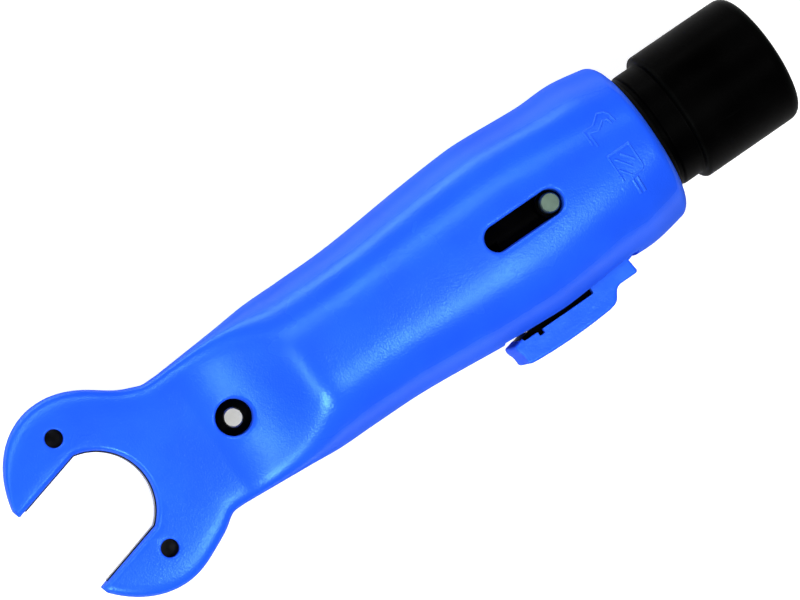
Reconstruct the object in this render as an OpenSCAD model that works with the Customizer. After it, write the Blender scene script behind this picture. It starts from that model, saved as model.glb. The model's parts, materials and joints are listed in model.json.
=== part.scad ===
// Coaxial cable stripper with a spanner end, lying on its back.
// X runs along the cable, out of the black guide head. Z points up, out of the face with the slot.
// The blade lever is on the -Y side. The origin is on the cable axis, in the plane of the body's open end.
// All lengths are in millimetres and all angles in degrees.

/* [Cable guide] */
// Bore that the cable passes through
cable_bore_d = 8; // [6:0.1:11]
// Wall of the guide's journal, from the cable bore outwards
guide_wall = 2.94; // [2.2:0.02:4]
// Depth of the journal inside the body
journal_len = 6.6; // [5.2:0.1:9]
// Length of the neck between the body and the head
guide_neck_len = 4; // [3:0.1:6]
// Length of the turning head
head_len = 12.55; // [9:0.1:18]
// Height of the head above the neck, on the radius
head_step = 0.82; // [0.4:0.02:1.6]
// Rounding of the head's outer end
head_edge_r = 1.35; // [0.6:0.05:2]
// Depth of the funnel at the cable entry
funnel = 1.4; // [0.8:0.1:2.2]
// Thickness of the retaining ring
ring_t = 0.8; // [0.6:0.05:1.2]
// Thickness of the rubber drag ring
drag_ring_t = 0.8; // [0.6:0.05:1.1]

/* [Body] */
// Side wall of the barrel at its widest, from the bore outwards
side_wall = 4.6; // [3.9:0.02:6]
// Front and back wall of the barrel, from the bore outwards
face_wall = 3.35; // [2.7:0.05:4.2]
// How much narrower the waist is than the widest place, on the half width
waist_in = 1.44; // [0.8:0.05:2.4]
// How much shallower the waist is than the barrel at the slot, on the half depth
waist_down = 1.1; // [0.5:0.05:1.6]
// Rounding of the open end
end_edge_r = 1; // [0.5:0.05:1.5]
// Length of the slope from the shoulder down to the spanner plate
slope_len = 12.15; // [10:0.05:15]
// Thickness of the spanner plate
plate_t = 5.2; // [4.2:0.1:6.4]
// Width of the neck behind the spanner head
neck_w = 16.5; // [13.9:0.02:19.8]

/* [Spanner] */
// Opening across the flats
jaw_opening = 11.1; // [9:0.1:13.5]
// Turn of the mouth against the tool's axis
jaw_turn = 15; // [10:0.5:20]
// Distance from the neck to the root of the mouth
jaw_reach = 11; // [9:0.1:13.5]
// Sideways offset of the root of the mouth
jaw_shift = 0.64; // [0.4:0.02:0.9]
// Plastic and steel beside each flat, at the root of the mouth
jaw_side = 6.93; // [5.7:0.05:8.3]
// Length of the jaws from the root of the mouth to the front of the head
jaw_len = 9.6; // [8:0.1:11.5]
// Radius of the round root of the mouth
root_r = 6.2; // [5.8:0.05:8]
// Thickness of the steel insert
insert_t = 2.4; // [1.8:0.1:3]
// Height of the insert's working edge above the plastic of the mouth
insert_proud = 0.14; // [0.08:0.01:0.3]
// How far the flats run past the root's start, before the round root begins
flat_over = 0.35; // [0.2:0.05:0.6]
// Width of plastic outside the insert
insert_cover = 1.7; // [1.3:0.05:2.2]
// Locating holes in the jaws
locating_hole_d = 2; // [1.4:0.05:2.6]
// How far each locating hole stands off the middle of the head, towards opposite ends
hole_shift = 0.4; // [0.2:0.05:0.6]

/* [Cable stop] */
// Wall of the sliding stop
stop_wall = 1.9; // [1.5:0.05:2.4]
// Travel of the stop
stop_travel = 6.75; // [5.4:0.05:8.1]
// Length of the trough from the pin's centre to the stop face
trough_len = 6.6; // [5.4:0.1:7.8]
// Thickness of the stop block
stop_block = 4.3; // [3.6:0.1:5.4]
// Spigot behind the stop block that carries the spring
spigot_len = 5.5; // [4:0.1:7]
// Diameter of the spigots inside the spring
spigot_d = 3.8; // [3:0.1:4.4]
// Diameter of the stop pin
stop_pin_d = 2.2; // [1.7:0.05:2.8]
// Depth of the pin's end below the face of the body
stop_pin_sunk = 0.3; // [0.2:0.05:0.8]
// Width of the slot that the pin runs in
slot_w = 3; // [2.4:0.05:3.8]

/* [Return spring] */
// Fitted length of the return spring
spring_len = 19.4; // [16:0.1:24]
// Wire of the return spring
spring_wire_d = 0.8; // [0.6:0.05:1]
// Turns of the return spring
spring_turns = 9; // [7:1:12]
// Flange of the spring rod
rod_flange_t = 1.5; // [1.2:0.1:2]
// Diameter of the rod's shank in the neck
shank_d = 3.8; // [3.2:0.1:4.4]
// Distance of the anchor pin from the shoulder
anchor_back = 8.75; // [7.4:0.05:9.6]
// Diameter of the anchor pin
anchor_pin_d = 2.2; // [1.7:0.05:2.6]
// Diameter of the access hole over the anchor pin
access_hole_d = 4; // [3.2:0.1:4.8]

/* [Blade lever] */
// Width of the lever
lever_w = 7; // [6:0.1:8]
// Diameter of the hinge pin
hinge_pin_d = 1.5; // [1.2:0.05:1.8]
// Wall of the hinge eye round its pin
hinge_eye_wall = 0.65; // [0.5:0.05:0.8]
// Wall between the barrel's bore and the floor of the lever's pocket
floor_wall = 1; // [0.8:0.05:1.3]
// Angle that the lever is pressed through
press_deg = 13; // [10:0.5:14.5]
// Distance from the hinge to the jacket blade
jacket_arm = 6.5; // [5.6:0.1:7.7]
// Distance between the blades, which is the length of bared core
strip_len = 6.5; // [5.4:0.1:7.7]
// Distance from the core blade to the lever's free end
lever_over = 2.25; // [2.1:0.05:2.8]
// Height of the thumb pad above the hinge
pad_rise = 4.61; // [4.2:0.01:5.4]
// Crown of the thumb pad along its length
pad_crown = 0.27; // [0.15:0.01:0.5]
// Height of the thin tab above the hinge
tab_rise = 3; // [2.7:0.05:3.5]
// Length of the tab from its end to the step of the pad
tab_len = 3.2; // [2.7:0.05:3.9]
// Roof of the thumb pad over the blade cassette
pad_roof = 1.8; // [1.4:0.05:2.1]
// Side wall of the lever beside the cassette
lever_wall = 0.85; // [0.6:0.05:1]
// Thickness of both blades
blade_t = 0.5; // [0.4:0.02:0.7]
// Gap between the resting blade edges and the cable bore
blade_clear = 0.3; // [0.2:0.05:0.5]
// Depth of the ground edge of a blade
blade_bevel = 1; // [0.6:0.05:1.5]
// Wire of the lever spring
lever_wire_d = 0.4; // [0.3:0.02:0.5]
// Outer diameter of the lever spring
lever_spring_d = 2.6; // [2.2:0.05:3]
// Diameter of the cassette screw
screw_d = 1.6; // [1.3:0.05:2]
// Head of the cassette screw
screw_head_d = 3; // [2.5:0.05:3.6]

/* [Clearances] */
// Radial clearance of turning and sliding fits
run_gap = 0.06; // [0.04:0.01:0.08]
// Clearance round pieces that are pushed in and stay
seat_gap = 0.02; // [0.01:0.005:0.03]
// Gap between pieces that only pass each other
pass_gap = 0.2; // [0.15:0.01:0.3]

/* [Hidden] */
$fn = 64;
eps = 0.01;

// Radii along the cable axis
cable_r = cable_bore_d / 2;
journal_r = cable_r + guide_wall;
mouth_r = journal_r + run_gap;
head_r = journal_r + head_step - 0.04;
stop_in_r = cable_r + 0.1;
stop_r = stop_in_r + stop_wall;
bore_r = stop_r + run_gap;
spring_bore_step = 1.86;
spring_bore_r = bore_r - spring_bore_step;
flange_r = spring_bore_r - seat_gap;
spring_side_gap = 0.8;
spring_r = spring_bore_r - spring_side_gap - spring_wire_d / 2;
shank_r = shank_d / 2;

// Stations along the cable axis, from the open end back
guide_out = guide_neck_len + head_len;
ring_x = -0.68 * journal_len;
mouth_end = -journal_len - pass_gap;
hinge_eye_r = hinge_pin_d / 2 + hinge_eye_wall;
pocket_front_wall = 0.6;
pocket_hi = mouth_end - pocket_front_wall;
hinge_x = pocket_hi - pass_gap - hinge_eye_r;
jacket_x = hinge_x - jacket_arm;
core_x = jacket_x - strip_len;
lever_end = core_x - lever_over;
stop_ahead = 1.8;
stop_x = core_x + stop_ahead;
pin_x = stop_x + trough_len;
trough_ahead = 2.3;
trough_front = pin_x + trough_ahead;
block_end = stop_x - stop_block;
spare_travel = 0.75;
bore_end = block_end - stop_travel - spare_travel;
flange_x = block_end - 0.1 - spring_len;
seat_x = flange_x - rod_flange_t - seat_gap;
seat_to_shoulder = 0.87;
shoulder_x = seat_x + seat_to_shoulder;
anchor_x = shoulder_x - anchor_back;
shank_over = 0.7;
shank_end = anchor_x - anchor_pin_d / 2 - shank_over;
plate_x = shoulder_x - slope_len;
neck_len = 0.7;
jaw_x = plate_x - neck_len - jaw_reach;
screw_ahead = 1.75;
screw_x = core_x + screw_ahead;

// Heights across the lever
floor_y = -(bore_r + floor_wall);
hinge_y = floor_y - pass_gap - hinge_eye_r;
pad_y = hinge_y - pad_rise;
tab_y = hinge_y - tab_rise;
lever_half = lever_w / 2;
hinge_half = lever_half + 1.1;
pocket_half = lever_half + pass_gap;
cassette_half = lever_half - lever_wall - seat_gap;
blade_half = cassette_half - 0.3;
roof_y = pad_y + pad_roof;
edge_y = -(cable_r - 0.6) - blade_clear;
pocket_lo = lever_end - pad_rise * sin(press_deg) + 0.2;
tab_over = 0.3;
tab_end = hinge_x + tab_over;
pad_x = tab_end - tab_len;

// Half widths and half depths of the body
wide = bore_r + side_wall;
deep = bore_r + face_wall;
waist = wide - waist_in;
plate_h = plate_t / 2;
jaw_a = jaw_len;
jaw_b = jaw_opening / 2 + jaw_side;

// Stations of the body's skin: distance along the axis, half width, half depth, squareness
SKIN = [
    [plate_x - neck_len, neck_w / 2, waist - 0.98, 6],
    [plate_x + 0.6 * slope_len, waist - 0.38, waist - 1, 3.4],
    [shoulder_x - 1, waist - 0.02, deep - waist_down, 2.8],
    [shoulder_x + 3.2, waist, deep - waist_down + 0.05, 2.7],
    [shoulder_x + 9.8, waist + 0.12, deep - 0.6 * waist_down, 2.7],
    [stop_x - 5, wide - 0.33 * waist_in, deep - 0.2 * waist_down, 2.7],
    [stop_x, wide - 0.11, deep, 2.7],
    [pin_x - 3.2, wide, deep, 2.7],
    [hinge_x, wide - 0.46, deep, 2.5],
    [-4.8, wide - 0.4, deep - 0.05, 2.3],
    [0, wide - 1.2, deep - 0.1, 2.15]
];
skin_points = 32;
// Powers that blend one form into the next: smaller is softer
fillet_power = 4.5;
shoulder_power = 14;
ramp_power = 1.6;
plate_square = 8;
// The neck fades out into the jaws over this length
neck_fade = 8.5;

function mix(a, b, t) = a + (b - a) * t;
function ease(t) = let (u = min(1, max(0, t))) u * u * (3 - 2 * u);
function soft_max(a, b, p) = pow(pow(max(a, eps), p) + pow(max(b, eps), p), 1 / p);
function soft_min(a, b, p) = 1 / soft_max(1 / a, 1 / b, p);

// Slope of a skin value at station i, and the curve through the stations
function slope_at(i, k) =
    let (last = len(SKIN) - 1, a = max(0, i - 1), b = min(last, i + 1))
    (SKIN[b][k] - SKIN[a][k]) / (SKIN[b][0] - SKIN[a][0]);
function span_of(x) = max([for (i = [0 : len(SKIN) - 2]) if (i == 0 || x >= SKIN[i][0]) i]);
function hermite(x, i, k) =
    let (h = SKIN[i + 1][0] - SKIN[i][0], t = (x - SKIN[i][0]) / h)
    (2 * pow(t, 3) - 3 * t * t + 1) * SKIN[i][k] + (pow(t, 3) - 2 * t * t + t) * h * slope_at(i, k)
    + (3 * t * t - 2 * pow(t, 3)) * SKIN[i + 1][k] + (pow(t, 3) - t * t) * h * slope_at(i + 1, k);
function skin(x, k) = x <= SKIN[0][0] ? SKIN[0][k] : hermite(x, span_of(x), k);

// The rounded open end draws the skin in over its last stretch
function end_in(x) = x < -end_edge_r ? 0 : end_edge_r - sqrt(end_edge_r * end_edge_r - pow(end_edge_r + x, 2));

// The spanner head is an ellipse turned with the mouth; this is where it crosses a station
function jaw_reach_x() = sqrt(pow(jaw_a * cos(jaw_turn), 2) + pow(jaw_b * sin(jaw_turn), 2));
function jaw_edge(x, side) =
    let (
        p = x - jaw_x,
        c = cos(jaw_turn),
        s = sin(jaw_turn),
        qa = pow(s / jaw_a, 2) + pow(c / jaw_b, 2),
        qb = 2 * c * s * p * (1 / pow(jaw_a, 2) - 1 / pow(jaw_b, 2)),
        qc = pow(c * p / jaw_a, 2) + pow(s * p / jaw_b, 2) - 1,
        root = qb * qb - 4 * qa * qc
    )
    root <= 0 ? (abs(p) < jaw_reach_x() + 1 ? -qb / (2 * qa) : 0) + jaw_shift
    : (-qb + side * sqrt(root)) / (2 * qa) + jaw_shift;
function neck_half(x) = skin(x, 1) * ease((x - jaw_x) / neck_fade);
function edge_of(x, side) =
    x > plate_x + 1 ? side * (skin(x, 1) - end_in(x))
    : x < jaw_x ? jaw_edge(x, side)
    : side * soft_max(neck_half(x), side * jaw_edge(x, side), fillet_power);
function ramp(x) = plate_h + (deep - waist_down - plate_h) * pow(max(0, (x - plate_x) / slope_len), ramp_power);
function depth_of(x) =
    x < plate_x ? plate_h
    : x > shoulder_x + 4 ? skin(x, 2) - end_in(x)
    : soft_min(ramp(x), skin(x, 2), shoulder_power);
function square_of(x) =
    x < plate_x ? plate_square : mix(plate_square, skin(x, 3), ease((x - plate_x) / slope_len));

// Stations that the skin is drawn at: closer where it turns fast
jaw_tip_x = jaw_x - jaw_reach_x() + 0.02;
DRAWN = concat(
    [for (i = [0 : 11]) mix(jaw_tip_x, jaw_x, 1 - cos(90 * i / 12))],
    [for (i = [0 : 7]) mix(jaw_x, plate_x, i / 8)],
    [for (i = [0 : 9]) mix(plate_x, shoulder_x + 1.2, i / 10)],
    [for (i = [0 : 16]) mix(shoulder_x + 1.2, -end_edge_r, i / 17)],
    [for (i = [0 : 4]) -end_edge_r + end_edge_r * sin(90 * i / 4)]
);

function ring(x) =
    let (top = edge_of(x, 1), low = edge_of(x, -1), mid = (top + low) / 2, w = (top - low) / 2,
         d = depth_of(x), e = 2 / square_of(x))
    [for (i = [0 : skin_points - 1])
        let (a = 360 * (i + 0.5) / skin_points)
        [x, mid + w * sign(cos(a)) * pow(abs(cos(a)), e), d * sign(sin(a)) * pow(abs(sin(a)), e)]];

function tube_faces(rings, n) = concat(
    [[for (i = [0 : n - 1]) i]],
    [[for (i = [n - 1 : -1 : 0]) (rings - 1) * n + i]],
    [for (r = [0 : rings - 2], i = [0 : n - 1])
        let (j = (i + 1) % n)
        each [[r * n + i, (r + 1) * n + i, (r + 1) * n + j], [r * n + i, (r + 1) * n + j, r * n + j]]]
);

// Outer form of the body, from the jaws to the open end
module body_skin() {
    rings = [for (x = DRAWN) ring(x)];
    polyhedron(points = [for (r = rings) each r], faces = tube_faces(len(rings), skin_points));
}

// A cylinder along X between two stations
module bar_x(r, x0, x1) {
    translate([x0, 0, 0])
        rotate([0, 90, 0])
            cylinder(r = r, h = x1 - x0);
}

// A block between two corners
module block(low, high) {
    translate(low)
        cube(high - low);
}

// The mouth of the spanner, seen from above, with its root at the origin and open towards -X
module mouth_2d(grow) {
    half = jaw_opening / 2 + grow;
    back = sqrt(max(0.01, pow(root_r, 2) - pow(jaw_opening / 2, 2)));
    translate([-3 * jaw_len, -half])
        square([3 * jaw_len + flat_over, 2 * half]);
    intersection() {
        translate([flat_over - back, 0])
            circle(r = root_r + grow);
        translate([-half, -half])
            square([4 * half, 2 * half]);
    }
}

// The outline of the steel insert, before the mouth is cut out of it
module insert_2d(grow) {
    a = jaw_a - 0.5 * insert_cover + grow;
    b = jaw_b - 1.4 * insert_cover + grow;
    polygon([for (i = [0 : 39]) [a * cos(9 * i), b * sin(9 * i)]]);
}

module at_jaw() {
    translate([jaw_x, jaw_shift, 0])
        rotate([0, 0, jaw_turn])
            children();
}

// Places of the two locating holes, beside the root of the mouth
module at_locating_holes() {
    for (side = [-1, 1])
        translate([side * hole_shift, side * (jaw_opening / 2 + 0.41 * jaw_side), 0])
            children();
}

module insert_solid(grow) {
    difference() {
        translate([0, 0, -insert_t / 2 - grow])
            linear_extrude(insert_t + 2 * grow)
                insert_2d(grow);
        translate([0, 0, -plate_t])
            linear_extrude(2 * plate_t)
                mouth_2d(0);
        translate([-3 * jaw_len, -jaw_b * 2, -plate_t])
            cube([2.22 * jaw_len, 4 * jaw_b, 2 * plate_t]);
    }
}

// What is taken out of the spanner head
module spanner_cuts() {
    at_jaw() {
        translate([0, 0, -plate_t])
            linear_extrude(2 * plate_t)
                mouth_2d(insert_proud);
        insert_solid(seat_gap);
        // The tips of the jaws are cut square
        translate([-2 * jaw_len, -2 * jaw_b, -plate_t])
            cube([1.15 * jaw_len, 4 * jaw_b, 2 * plate_t]);
        at_locating_holes()
            translate([0, 0, -plate_t])
                cylinder(r = locating_hole_d / 2, h = 2 * plate_t);
    }
}

// Round bores for the guide, the sliding stop, the spring and the rod
module bore_cuts() {
    bar_x(mouth_r, mouth_end, eps * 100);
    bar_x(mouth_r + 0.95, ring_x - pass_gap, ring_x + ring_t + pass_gap);
    bar_x(bore_r, bore_end, 0);
    bar_x(spring_bore_r, seat_x, 0);
    bar_x(shank_r + seat_gap, shank_end - 0.1, 0);
}

// The slot in the front face that shows the stop pin
module slot_cut() {
    for (x = [pin_x, pin_x - stop_travel])
        translate([x, 0, cable_r / 2])
            cylinder(r = slot_w / 2, h = 2 * deep);
    block([pin_x - stop_travel, -slot_w / 2, cable_r / 2], [pin_x, slot_w / 2, 2 * deep]);
}

// The holes for the anchor pin: wide in front and a tight one through the back
module anchor_cuts() {
    anchor_low = depth_of(anchor_x) + 1;
    translate([anchor_x, 0, 0]) {
        cylinder(r = access_hole_d / 2, h = 2 * deep);
        translate([0, 0, -anchor_low])
            cylinder(r = anchor_pin_d / 2 + seat_gap, h = anchor_low);
    }
}

// The pocket for the lever, its hinge hole, and the slits that the blades pass
module lever_cuts() {
    block([pocket_lo, -2 * wide, -pocket_half], [pocket_hi, floor_y, pocket_half]);
    translate([hinge_x, hinge_y, -2 * deep])
        cylinder(r = hinge_pin_d / 2 + seat_gap, h = 2 * deep + hinge_half);
    for (x = [jacket_x, core_x])
        block([x - 0.6, floor_y - eps, -blade_half - pass_gap], [x + 1.8, 0, blade_half + pass_gap]);
}

module body() {
    color([0.1, 0.32, 0.95])
        difference() {
            body_skin();
            spanner_cuts();
            bore_cuts();
            slot_cut();
            anchor_cuts();
            lever_cuts();
        }
}

module spanner_insert() {
    color([0.12, 0.12, 0.13])
        at_jaw()
            insert_solid(0);
}

// Journal, neck and head in one turned piece
module cable_guide() {
    neck_r = journal_r - 0.04;
    groove_r = journal_r - 0.7;
    color([0.05, 0.05, 0.05])
        rotate([0, 90, 0])
            rotate_extrude()
                polygon(concat(
                    [
                        [cable_r, -journal_len],
                        [journal_r, -journal_len],
                        [journal_r, ring_x - seat_gap],
                        [groove_r, ring_x - seat_gap],
                        [groove_r, ring_x + ring_t + seat_gap],
                        [journal_r, ring_x + ring_t + seat_gap],
                        [journal_r, 0],
                        [neck_r - 0.2, 0],
                        [neck_r - 0.2, drag_ring_t + 0.6],
                        [neck_r, drag_ring_t + 0.8],
                        [neck_r, guide_neck_len],
                        [head_r - 0.6, guide_neck_len],
                        [head_r, guide_neck_len + 0.6]
                    ],
                    [for (i = [0 : 6])
                        [head_r - head_edge_r * (1 - cos(15 * i)), guide_out - head_edge_r * (1 - sin(15 * i))]],
                    [
                        [cable_r + funnel, guide_out],
                        [cable_r, guide_out - funnel]
                    ]
                ));
}

// A rubber ring round the neck at the open end, which gives the head its drag and keeps dust out
module drag_ring() {
    low = journal_r - 0.24 + seat_gap;
    round_r = drag_ring_t / 2;
    color([0.08, 0.08, 0.08])
        rotate([0, 90, 0])
            rotate_extrude()
                polygon(concat(
                    [[low, 0.05], [journal_r + 0.45 - round_r, 0.05]],
                    [for (i = [1 : 7])
                        [journal_r + 0.45 - round_r + round_r * sin(22.5 * i),
                         0.05 + round_r * (1 - cos(22.5 * i))]],
                    [[journal_r + 0.45 - round_r, 0.05 + drag_ring_t], [low, 0.05 + drag_ring_t]]
                ));
}

// An open spring ring in the groove of the journal, which keeps the guide in the body
module retaining_ring() {
    color([0.7, 0.7, 0.72])
        translate([ring_x, 0, 0])
            rotate([0, 90, 0])
                rotate_extrude(angle = 325)
                    polygon([
                        [journal_r - 0.65, 0],
                        [mouth_r + 0.75, 0],
                        [mouth_r + 0.75, ring_t],
                        [journal_r - 0.65, ring_t]
                    ]);
}

// The sliding stop: a trough for the cable, a block that the cable's end meets, and a spigot
module cable_stop() {
    key_r = slot_w / 2 - 0.1;
    color([0.07, 0.07, 0.08])
        difference() {
            union() {
                bar_x(stop_r, block_end, trough_front);
                bar_x(spigot_d / 2, block_end - spigot_len, block_end + eps);
                translate([pin_x, 0, stop_in_r + 0.4])
                    cylinder(r = key_r, h = deep - stop_in_r - 2);
            }
            bar_x(stop_in_r, stop_x, trough_front + 1);
            block([stop_x, -2 * stop_r, -2 * stop_r], [trough_front + 1, -stop_pin_d / 2 - 0.5, 2 * stop_r]);
            block([stop_x - 2.8, -2 * stop_r, -2 * stop_r], [stop_x + eps, -0.3, 2 * stop_r]);
            translate([pin_x, 0, 0])
                cylinder(r = stop_pin_d / 2 + seat_gap, h = 2 * deep);
        }
}

// The steel pin that is seen in the slot
module stop_pin() {
    top = depth_of(pin_x) - stop_pin_sunk;
    low = stop_in_r + pass_gap;
    color([0.8, 0.8, 0.78])
        translate([pin_x, 0, low])
            rotate_extrude()
                polygon([
                    [0, 0],
                    [stop_pin_d / 2, 0],
                    [stop_pin_d / 2, top - low - 0.15],
                    [stop_pin_d / 2 - 0.15, top - low],
                    [0, top - low]
                ]);
}

// A coil spring along Z with closed ends: wire centre at height h for each share of the turns
function coil_rise(t, turns, wire, len) =
    let (dead = 1 / turns, run = 1 - 2 * dead, low = wire / 2, lift = 1.02 * wire)
    t < dead ? low + lift * t / dead
    : t > 1 - dead ? len - low - lift * (1 - t) / dead
    : low + lift + (len - 2 * low - 2 * lift) * (t - dead) / run;
module coil(r, wire, turns, len, steps) {
    sides = 8;
    n = turns * steps;
    polyhedron(
        points = [for (k = [0 : n], i = [0 : sides - 1])
            let (a = 360 * k / steps, b = -360 * i / sides, out = r + wire / 2 * cos(b))
            [out * cos(a), out * sin(a), coil_rise(k / n, turns, wire, len) + wire / 2 * sin(b)]],
        faces = tube_faces(n + 1, sides)
    );
}

module return_spring() {
    color([0.65, 0.65, 0.66])
        translate([flange_x + 0.05, 0, 0])
            rotate([0, 90, 0])
                coil(spring_r, spring_wire_d, spring_turns, spring_len, 14);
}

// The rod that the return spring pushes against, pinned in the neck
module spring_rod() {
    color([0.06, 0.06, 0.06])
        difference() {
            union() {
                bar_x(spigot_d / 2, flange_x - eps, flange_x + 0.8 * spigot_len);
                bar_x(flange_r, flange_x - rod_flange_t, flange_x);
                bar_x(shank_r, shank_end, flange_x - rod_flange_t + eps);
            }
            translate([anchor_x, 0, -2 * deep])
                cylinder(r = anchor_pin_d / 2 + seat_gap, h = 4 * deep);
        }
}

module anchor_pin() {
    low = 0.3 - depth_of(anchor_x);
    top = shank_r - 0.15;
    color([0.85, 0.85, 0.82])
        translate([anchor_x, 0, low])
            cylinder(r = anchor_pin_d / 2, h = top - low);
}

// Underside of the lever: it lies flat over the pocket's floor when the lever is pressed
function ramp_y(x) = floor_y - 0.15 - (hinge_x - x) * tan(press_deg);
function pad_top(x) =
    let (mid = (pad_x - 1 + lever_end) / 2, half = (pad_x - 1 - lever_end) / 2)
    pad_y - pad_crown * (1 - pow((x - mid) / half, 2));

// Side view of the lever: tab, step, crowned thumb pad and a lip at the free end
module lever_2d() {
    polygon(concat(
        [
            [hinge_x, floor_y - pass_gap],
            [hinge_x, hinge_y - hinge_eye_r],
            [tab_end, tab_y + 0.35],
            [tab_end - 0.25, tab_y]
        ],
        [for (i = [0 : 5])
            [pad_x - 1 + cos(90 * i / 5), mix(tab_y, pad_y + 0.35, sin(90 * i / 5) * i / 5)]],
        [for (i = [0 : 8]) let (x = mix(pad_x - 1.3, lever_end + 0.5, i / 8)) [x, pad_top(x)]],
        [
            [lever_end + 0.15, pad_y + 0.05],
            [lever_end + 0.08, pad_y + 0.2],
            [lever_end + 0.08, pad_y + 1.1],
            [lever_end - end_step, pad_y + 1.9],
            [lever_end - end_step, ramp_y(lever_end - end_step)],
            [hinge_x - 1, ramp_y(hinge_x - 1)]
        ]
    ));
}

module cassette_2d(grow) {
    hi = jacket_x + 1.3 + grow;
    lo = core_x - 1.4 - grow;
    polygon([
        [hi, roof_y - grow],
        [lo, roof_y - grow],
        [lo, ramp_y(lo) + 3 * grow],
        [hi, ramp_y(hi) + 3 * grow]
    ]);
}

end_step = 0.25;
wall_drop = 2.2;
notch_x = core_x + 0.8;
notch_w = 0.7;
notch_deep = 0.5;
lever_spring_x = jacket_x - blade_t / 2 - 0.45 - lever_spring_d / 2;

module blade_lever() {
    color([0.1, 0.32, 0.95])
        difference() {
            union() {
                translate([0, 0, -lever_half])
                    linear_extrude(lever_w)
                        lever_2d();
                translate([hinge_x, hinge_y, -lever_half])
                    cylinder(r = hinge_eye_r, h = lever_w);
            }
            translate([0, 0, -cassette_half - seat_gap])
                linear_extrude(2 * (cassette_half + seat_gap))
                    cassette_2d(0.05);
            translate([hinge_x, hinge_y, -lever_w])
                cylinder(r = hinge_pin_d / 2 + run_gap, h = 2 * lever_w);
            screw_hole(seat_gap);
            // The side walls stop short of the barrel, so that the black cassette shows between them
            block([lever_end + 0.95, hinge_y - wall_drop, -lever_w], [pad_x - 1.4, 0, lever_w]);
            block([notch_x - notch_w / 2, hinge_y - wall_drop - notch_deep, -lever_w],
                  [notch_x + notch_w / 2, 0, lever_w]);
        }
}

module screw_hole(grow) {
    top = pad_top(screw_x);
    translate([screw_x, top, 0])
        rotate([-90, 0, 0]) {
            cylinder(r = screw_d / 2 + grow, h = pad_roof + 2);
            translate([0, 0, -0.5])
                cylinder(r = screw_head_d / 2 + grow, h = 0.6);
            translate([0, 0, 0.1 - eps])
                cylinder(r1 = screw_head_d / 2 + grow, r2 = screw_d / 2 + grow, h = 0.7);
        }
}

module hinge_pin() {
    color([0.75, 0.75, 0.76])
        translate([hinge_x, hinge_y, -hinge_half + seat_gap])
            cylinder(r = hinge_pin_d / 2, h = 2 * hinge_half - 2 * seat_gap);
}

lever_spring_roof = roof_y + 0.7;
module lever_spring() {
    color([0.65, 0.65, 0.66])
        translate([lever_spring_x, lever_spring_roof + 0.03, 0])
            rotate([-90, 0, 0])
                coil(lever_spring_d / 2 - lever_wire_d / 2, lever_wire_d, 5,
                     floor_y - lever_spring_roof - 0.06, 14);
}

module blade_cassette() {
    color([0.1, 0.1, 0.1])
        difference() {
            translate([0, 0, -cassette_half])
                linear_extrude(2 * cassette_half)
                    cassette_2d(0);
            for (x = [jacket_x, core_x])
                block([x - blade_t / 2 - seat_gap, roof_y + 0.7, -blade_half - seat_gap],
                      [x + blade_t / 2 + seat_gap, 0, blade_half + seat_gap]);
            translate([lever_spring_x, lever_spring_roof, 0])
                rotate([-90, 0, 0])
                    cylinder(r = lever_spring_d / 2 + 0.1, h = 2 * pad_rise);
            screw_hole(seat_gap);
        }
}

// A steel blade with a ground edge, across the cable at station x
module blade_at(x) {
    low = roof_y + 0.7 + seat_gap;
    translate([0, 0, -blade_half])
        linear_extrude(2 * blade_half)
            polygon([
                [x - blade_t / 2, low],
                [x + blade_t / 2, low],
                [x + blade_t / 2, edge_y - blade_bevel],
                [x + 0.03, edge_y],
                [x - 0.03, edge_y],
                [x - blade_t / 2, edge_y - blade_bevel]
            ]);
}

module jacket_blade() {
    color([0.8, 0.81, 0.83])
        blade_at(jacket_x);
}

module core_blade() {
    color([0.8, 0.81, 0.83])
        blade_at(core_x);
}

module cassette_screw() {
    top = pad_top(screw_x);
    color([0.75, 0.75, 0.76])
        translate([screw_x, top, 0])
            rotate([-90, 0, 0])
                difference() {
                    union() {
                        translate([0, 0, 0.1])
                            cylinder(r1 = screw_head_d / 2, r2 = screw_d / 2, h = 0.7);
                        translate([0, 0, 0.75])
                            cylinder(r = screw_d / 2, h = pad_roof + 0.9);
                    }
                    cube([screw_head_d * 2, 0.4, 0.9], center = true);
                }
}

body();
spanner_insert();
cable_guide();
retaining_ring();
drag_ring();
cable_stop();
stop_pin();
return_spring();
spring_rod();
anchor_pin();
blade_lever();
hinge_pin();
lever_spring();
blade_cassette();
jacket_blade();
core_blade();
cassette_screw();
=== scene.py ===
# %% [markdown]
# # A coaxial cable stripper with a spanner end
# The real tool is a small hand tool. A cable goes into the black head, a thumb presses the blue lever,
# and the tool is turned round the cable so that two blades cut it. The other end is an open spanner.
# The solids were made in CAD. This file dresses them: fine meshes, finishes, light and a camera.

# %% Load the solids
import bmesh
import bpy
import json
from math import acos, asin, cos, degrees, pi, radians, sin, sqrt, tan
from mathutils import Matrix, Vector


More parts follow.
